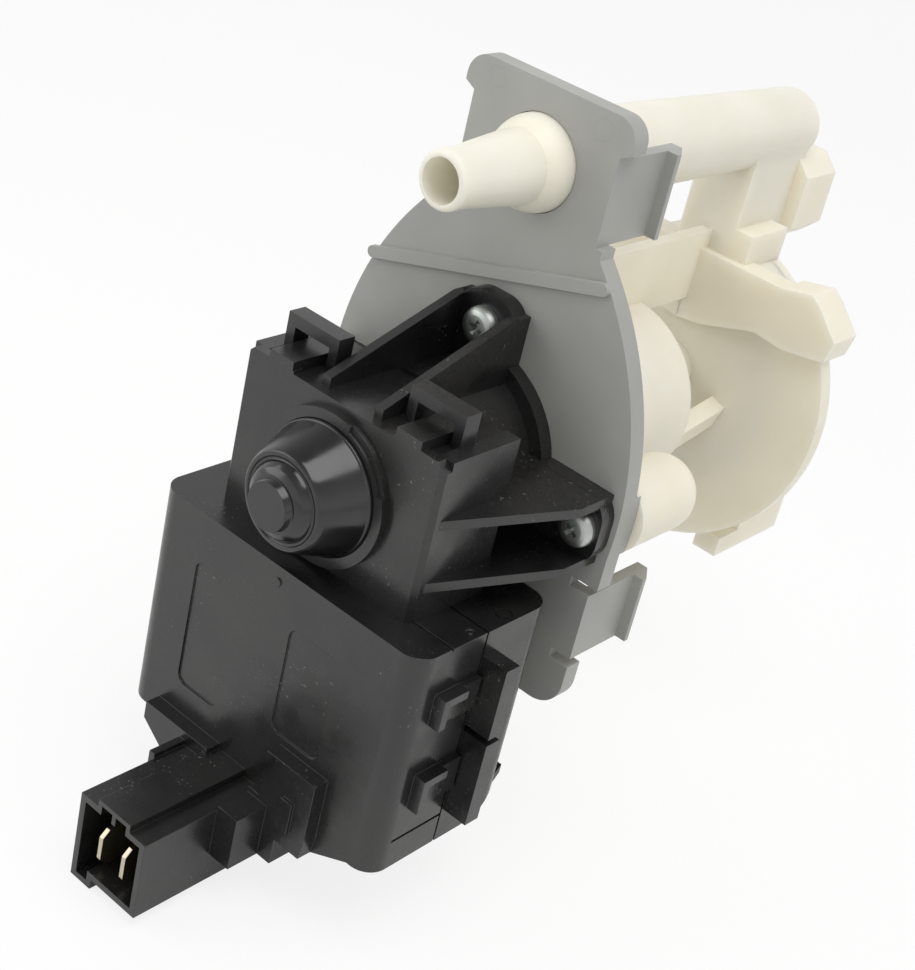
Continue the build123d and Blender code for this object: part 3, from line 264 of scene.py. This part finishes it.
# Grey polypropylene of the mounting plate, moulded, satin.
grey_pp, grey_shader, grey_place = moulded_plastic(
    "grey_polypropylene", "#999996", "#a4a49f", 0.38, 0.5, 0.3, 0.2
)
ejector_rings(grey_pp, grey_shader, grey_place, RING_MARKS)
# Black glass-filled polybutylene: a half gloss with uneven shine and pale specks of dust.
black_pbt, black_shader, black_place = moulded_plastic(
    "black_polybutylene", "#161617", "#222120", 0.2, 0.36, 0.25, 0.3
)
black_shader.inputs["IOR"].default_value = 1.6
dusty(black_pbt, black_shader, black_place, 0.5, 9, "#9c9a94", 0.4)
# The rotor can's nose is the same black plastic from a polished mould.
black_gloss, gloss_shader, _ = moulded_plastic(
    "polished_black_plastic", "#131314", "#1a1a1b", 0.14, 0.26, 0.6, 0.05
)
gloss_shader.inputs["IOR"].default_value = 1.6
# Zinc-plated steel of the screws.
zinc_steel = metal("zinc_plated_steel", "#a3a8a4", "#c9cdc8", 0.42, 0.3)
# Tinned brass of the flat terminals.
tin_brass = metal("tinned_brass", "#b9b1a0", "#d8cfb4", 0.3, 0.3)
# Enamelled copper wire of the windings: a warm, clear shine.
copper = metal("enamelled_copper", "#7a3b1c", "#a35a2e", 0.35, 0.3)
# Silicon steel of the stator's sheets: dull grey.
lamination = metal("silicon_steel", "#5c6064", "#74787c", 0.45, 0.35)
# Stainless steel of the shaft and the washers: ground and bright.
stainless = metal("stainless_steel", "#b9bcbf", "#cfd2d4", 0.15, 0.3)
# Sintered bronze of the bushes: brown and matt.
bronze = metal("sintered_bronze", "#7c6240", "#94754c", 0.5, 0.2)
# Nitrile rubber of seals and bearing holders: matt black.
rubber = moulded_plastic("nitrile_rubber", "#1b1b1c", "#242425", 0.6, 0.75, 0.25, 0.2)[0]
# White polyamide of impeller, hub, dog and bobbins: satin.
white_pa = moulded_plastic("white_polyamide", "#dcd9cf", "#e6e3da", 0.4, 0.5, 0.25, 0.2)[0]
# Ground ferrite of the rotor magnet: dark and slightly rough.
ferrite = moulded_plastic("ground_ferrite", "#2c2c2e", "#38383a", 0.4, 0.55, 0.2, 0.3)[0]

FINISHES = {
    "natural_pp": natural_pp,
    "grey_pp": grey_pp,
    "black_pbt": black_pbt,
    "black_gloss": black_gloss,
    "zinc_steel": zinc_steel,
    "tin_brass": tin_brass,
    "copper_wire": copper,
    "lamination_steel": lamination,
    "stainless": stainless,
    "sintered_bronze": bronze,
    "nbr_rubber": rubber,
    "white_pa": white_pa,
    "ferrite": ferrite,
}
node_slot = {entry["node"]: entry["material_slot"] for entry in frame["record"]["subparts"]}
bodies = frame["record"]["behaviour"]["bodies"]
node_body = {node: body for body, nodes in bodies.items() for node in nodes}

# Every node of the frame gets its real finish.
for node, piece in frame["nodes"].items():
    piece.data.materials.clear()
    piece.data.materials.append(FINISHES[node_slot[node]])


def deselect_all():
    """Leaves nothing selected."""
    bpy.ops.object.select_all(action="DESELECT")


def rounded(piece, edge, segments, angle, corner):
    """Rounds the active piece's edges that are sharper than an angle, and smooths its shading."""
    rounding = piece.modifiers.new("rounding", "BEVEL")
    rounding.width = edge
    rounding.segments = segments
    rounding.limit_method = "ANGLE"
    rounding.angle_limit = math.radians(angle)
    rounding.miter_outer = corner
    bpy.ops.object.modifier_apply(modifier=rounding.name)
    bpy.ops.object.shade_smooth_by_angle(angle=math.radians(SMOOTH_ANGLE))
    flatness = piece.modifiers.new("flat faces", "WEIGHTED_NORMAL")
    flatness.keep_sharp = True
    bpy.ops.object.modifier_apply(modifier=flatness.name)


def stands_for(piece, node):
    """Gives a piece its node's finish, body and slot, and lets it stand for the node."""
    piece.data.materials.clear()
    piece.data.materials.append(FINISHES[node_slot[node]])
    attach(piece, node_body[node])
    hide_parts(node)


def softened(node, name, edge):
    """A copy of a node with its edges rounded, which stands for the node."""
    source = frame["nodes"][node]
    mesh = source.data.copy()
    piece = bpy.data.objects.new(name, mesh)
    bpy.context.collection.objects.link(piece)
    deselect_all()
    bpy.context.view_layer.objects.active = piece
    piece.select_set(True)
    bpy.ops.object.mode_set(mode="EDIT")
    bpy.ops.mesh.select_all(action="SELECT")
    bpy.ops.mesh.remove_doubles(threshold=MERGE_DISTANCE)
    bpy.ops.mesh.dissolve_limited(angle_limit=math.radians(FLAT_ANGLE))
    bpy.ops.mesh.select_all(action="DESELECT")
    bpy.ops.object.mode_set(mode="OBJECT")
    rounded(piece, edge, 2, MOULD_ANGLE, "MITER_ARC")
    stands_for(piece, node)


# Rounding of each moulded node's edges
SOFT_EDGES = {
    "pump_body": 0.45 * MM,
    "volute_cover": 0.45 * MM,
    "mounting_plate": 0.4 * MM,
    "motor_housing": 0.25 * MM,
    "front_cap": 0.25 * MM,
    "coil_front_shell": 0.3 * MM,
    "coil_rear_shell": 0.3 * MM,
    "terminal_tab_left": 0.08 * MM,
    "terminal_tab_right": 0.08 * MM,
}
for node, edge in SOFT_EDGES.items():
    softened(node, node + "_moulding", edge)


def lathe(name, sides, radius, front_y, rear_y, front_steps, rear_steps):
    """A turned piece about the shaft line: a cylinder whose ends are extruded and scaled in steps.

    Every step gives the next radius and place along the shaft, in millimetres.
    """
    deselect_all()
    bpy.ops.mesh.primitive_cylinder_add(
        vertices=sides,
        radius=radius * MM,
        depth=(rear_y - front_y) * MM,
        location=(0, (front_y + rear_y) / 2 * MM, 0),
        rotation=(math.pi / 2, 0, 0),
    )
    piece = bpy.context.object
    piece.name = name
    bpy.ops.object.transform_apply(location=True, rotation=True, scale=True)
    for end_y, steps in ((front_y, front_steps), (rear_y, rear_steps)):
        select_faces(piece, lambda face: abs(face.center.y - end_y * MM) < MERGE_DISTANCE)
        bpy.ops.object.mode_set(mode="EDIT")
        now_radius, now_y = radius, end_y
        for step_radius, step_y in steps:
            reach = (0, (step_y - now_y) * MM, 0)
            bpy.ops.mesh.extrude_region_move(TRANSFORM_OT_translate={"value": reach})
            share = step_radius / now_radius
            bpy.ops.transform.resize(value=(share, 1, share), center_override=(0, 0, 0))
            now_radius, now_y = step_radius, step_y
        bpy.ops.object.mode_set(mode="OBJECT")
    return piece


def select_faces(piece, wanted):
    """Selects the faces that pass a test, and nothing else."""
    deselect_all()
    bpy.context.view_layer.objects.active = piece
    piece.select_set(True)
    bpy.ops.object.mode_set(mode="EDIT")
    bpy.ops.mesh.select_mode(type="FACE")
    bpy.ops.mesh.select_all(action="DESELECT")
    bpy.ops.object.mode_set(mode="OBJECT")
    for face in piece.data.polygons:
        face.select = wanted(face)


def finished(piece, edge, segments, node):
    """Rounds a modelled piece's edges, smooths it, and lets it stand for its node."""
    deselect_all()
    bpy.context.view_layer.objects.active = piece
    piece.select_set(True)
    rounded(piece, edge, segments, TURNED_ANGLE, "MITER_SHARP")
    stands_for(piece, node)


# Rotor can: the sleeve, its flange behind, and the nose with its shoulder, groove, dome and tip.
CAN_SIDES = 96
CAN_EDGE = 0.18 * MM
CAN_RADIUS = 10.0
CAN_FRONT_Y = -36.4
CAN_REAR_Y = -5.8
NOSE_STEPS = (
    (10.0, -36.9),
    (9.75, -37.0),
    (8.7, -40.0),
    (7.55, -43.0),
    (7.1, -43.8),
    (6.5, -43.9),
    (6.3, -43.6),
    (5.9, -43.6),
    (5.7, -44.1),
    (5.1, -44.9),
    (4.2, -45.4),
    (3.75, -45.4),
    (3.6, -46.6),
)
SLEEVE_STEPS = (
    (12.4, -5.8),
    (12.4, -4.4),
    (9.1, -4.4),
    (9.1, -35.85),
    (5.05, -35.85),
    (5.05, -40.85),
    (2.8, -40.85),
    (2.8, -44.6),
)
can = lathe("rotor_can_nose", CAN_SIDES, CAN_RADIUS, CAN_FRONT_Y, CAN_REAR_Y, NOSE_STEPS, SLEEVE_STEPS)
finished(can, CAN_EDGE, 2, "rotor_can")

# Mounting screws: pan heads with a tapered cross recess.
SCREW_PLACES = ((0, 19.1), (24.5, -1.6), (-24.5, -1.6))
SCREW_TURNS = (20, 35, 70)
SCREW_SIDES = 48
SCREW_EDGE = 0.08 * MM
HEAD_RADIUS = 3.0
HEAD_FRONT_Y = -8.0
HEAD_BASE_Y = -7.4
HEAD_STEPS = ((3.0, -8.1), (2.85, -8.6), (2.5, -9.0), (1.8, -9.25), (0.9, -9.3))
SHANK_STEPS = ((1.5, -7.4), (1.5, 8.0), (1.1, 8.6))
RECESS_MIDDLE_Y = -9.4
RECESS_REACH = 1.75
RECESS_WIDTH = 0.95
RECESS_DEPTH = 1.3
RECESS_TAPER = 0.45


def cross_cutter():
    """The driver's cross: two crossed blades that narrow towards their ends inside the head."""
    blades = []
    for size in ((RECESS_REACH, RECESS_WIDTH / 2), (RECESS_WIDTH / 2, RECESS_REACH)):
        deselect_all()
        bpy.ops.mesh.primitive_cube_add(size=2, location=(0, RECESS_MIDDLE_Y * MM, 0))
        blade = bpy.context.object
        blade.scale = (size[0] * MM, RECESS_DEPTH * MM, size[1] * MM)
        bpy.ops.object.transform_apply(location=True, rotation=True, scale=True)
        inner_y = (RECESS_DEPTH + RECESS_MIDDLE_Y) * MM
        select_faces(blade, lambda face: abs(face.center.y - inner_y) < MERGE_DISTANCE)
        bpy.ops.object.mode_set(mode="EDIT")
        bpy.ops.transform.resize(value=(RECESS_TAPER, 1, RECESS_TAPER), center_override=(0, 0, 0))
        bpy.ops.object.mode_set(mode="OBJECT")
        blades.append(blade)
    return blades


screws = []
for turn, (screw_x, screw_z) in zip(SCREW_TURNS, SCREW_PLACES):
    screw = lathe("screw", SCREW_SIDES, HEAD_RADIUS, HEAD_FRONT_Y, HEAD_BASE_Y, HEAD_STEPS, SHANK_STEPS)
    for blade in cross_cutter():
        deselect_all()
        bpy.context.view_layer.objects.active = screw
        screw.select_set(True)
        recess = screw.modifiers.new("recess", "BOOLEAN")
        recess.object = blade
        recess.operation = "DIFFERENCE"
        bpy.ops.object.modifier_apply(modifier=recess.name)
        bpy.data.objects.remove(blade)
    turned_head = Matrix.Rotation(math.radians(turn), 4, "Y")
    screw.data.transform(Matrix.Translation((screw_x * MM, 0, screw_z * MM)) @ turned_head)
    screws.append(screw)
deselect_all()
for screw in screws:
    screw.select_set(True)
bpy.context.view_layer.objects.active = screws[0]
bpy.ops.object.join()
screws[0].name = "pan_head_screws"
finished(screws[0], SCREW_EDGE, 1, "mounting_screws")

# Floor and light
FLOOR_DROP = 0.2 * MM
FLOOR_SIZE = 4.0
FLOOR_LIFT = 0.82
FLOOR_MIRRORED = 0.25
WORLD_LIGHT = 0.66
CEILING_SEEN = 0.25
# Lamps: place in millimetres, side length in millimetres, power in watts. The key is overhead.
KEY_LAMP = ((130, -50, 420), 320, 1.0)
LEFT_FILL = ((-340, -300, 190), 360, 0.6)


def camera():
    """The camera at the photograph's viewing angle."""
    lens = bpy.data.cameras.new("camera")
    lens.lens = CAMERA_LENS
    lens.sensor_width = 36
    lens.clip_start = 0.01
    holder = bpy.data.objects.new("camera", lens)
    bpy.context.collection.objects.link(holder)
    turn = Matrix((CAMERA_RIGHT, CAMERA_UP, CAMERA_BACK)).transposed().to_4x4()
    holder.matrix_world = Matrix.Translation(Vector(CAMERA_PLACE_MM) * MM) @ turn
    bpy.context.scene.camera = holder


def floor():
    """A plain pale floor just under the lowest point, which keeps a faint shadow."""
    low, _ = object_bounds()
    deselect_all()
    bpy.ops.mesh.primitive_plane_add(size=FLOOR_SIZE, location=(0, 0, low[2] - FLOOR_DROP))
    plane = bpy.context.object
    plane.name = "floor"
    material, shader, _ = new_material("pale_floor")
    shader.inputs["Base Color"].default_value = linear("#f7f7f6")
    shader.inputs["Roughness"].default_value = 0.9
    ray = add_node(material, "ShaderNodeLightPath")
    times = {"operation": "MULTIPLY"}
    larger = {"operation": "MAXIMUM"}
    camera_share = add_node(
        material, "ShaderNodeMath", times, in0=ray.outputs["Is Camera Ray"], in1=FLOOR_LIFT
    )
    mirrored = add_node(
        material,
        "ShaderNodeMath",
        larger,
        in0=ray.outputs["Is Glossy Ray"],
        in1=ray.outputs["Is Transmission Ray"],
    )
    mirrored_share = add_node(
        material, "ShaderNodeMath", times, in0=mirrored.outputs[0], in1=FLOOR_MIRRORED
    )
    share = add_node(
        material, "ShaderNodeMath", larger, in0=camera_share.outputs[0], in1=mirrored_share.outputs[0]
    )
    glow = add_node(material, "ShaderNodeEmission", Color=linear("#ffffff"), Strength=1.0)
    mix = add_node(
        material,
        "ShaderNodeMixShader",
        in0=share.outputs[0],
        in1=shader.outputs["BSDF"],
        in2=glow.outputs["Emission"],
    )
    output = material.node_tree.nodes["Material Output"]
    material.node_tree.links.new(mix.outputs["Shader"], output.inputs["Surface"])
    plane.data.materials.append(material)
    plane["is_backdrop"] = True


def area_light(name, place_mm, size_mm, power):
    """A soft lamp aimed at the frame's origin."""
    lamp = bpy.data.lights.new(name, "AREA")
    lamp.size = size_mm * MM
    lamp.energy = power
    holder = bpy.data.objects.new(name, lamp)
    bpy.context.collection.objects.link(holder)
    holder.location = Vector(place_mm) * MM
    holder.rotation_euler = (-Vector(place_mm)).to_track_quat("-Z", "Y").to_euler()


def world():
    """Plain soft light from all round. Mirrored rays see a white room with a dim ceiling."""
    scene_world = bpy.data.worlds.new("studio")
    scene_world.use_nodes = True
    background = scene_world.node_tree.nodes["Background"]
    background.inputs["Color"].default_value = linear("#ffffff")
    ray = add_node(scene_world, "ShaderNodeLightPath")
    direction = add_node(scene_world, "ShaderNodeTexCoord")
    parts = add_node(scene_world, "ShaderNodeSeparateXYZ", Vector=direction.outputs["Object"])
    ceiling = add_node(
        scene_world,
        "ShaderNodeMapRange",
        Value=parts.outputs["Z"],
        From_Min=0.2,
        From_Max=1.0,
        To_Min=1.0,
        To_Max=CEILING_SEEN,
    )
    light = add_node(
        scene_world,
        "ShaderNodeMix",
        in0=ray.outputs["Is Glossy Ray"],
        in2=WORLD_LIGHT,
        in3=ceiling.outputs["Result"],
    )
    shown = add_node(
        scene_world,
        "ShaderNodeMath",
        {"operation": "MAXIMUM"},
        in0=ray.outputs["Is Camera Ray"],
        in1=ray.outputs["Is Transmission Ray"],
    )
    strength = add_node(
        scene_world,
        "ShaderNodeMath",
        {"operation": "MAXIMUM"},
        in0=light.outputs[0],
        in1=shown.outputs[0],
    )
    scene_world.node_tree.links.new(strength.outputs[0], background.inputs["Strength"])
    bpy.context.scene.world = scene_world


camera()
floor()
world()
area_light("key", *KEY_LAMP)
area_light("left_fill", *LEFT_FILL)
bpy.context.scene.view_settings.view_transform = "Standard"
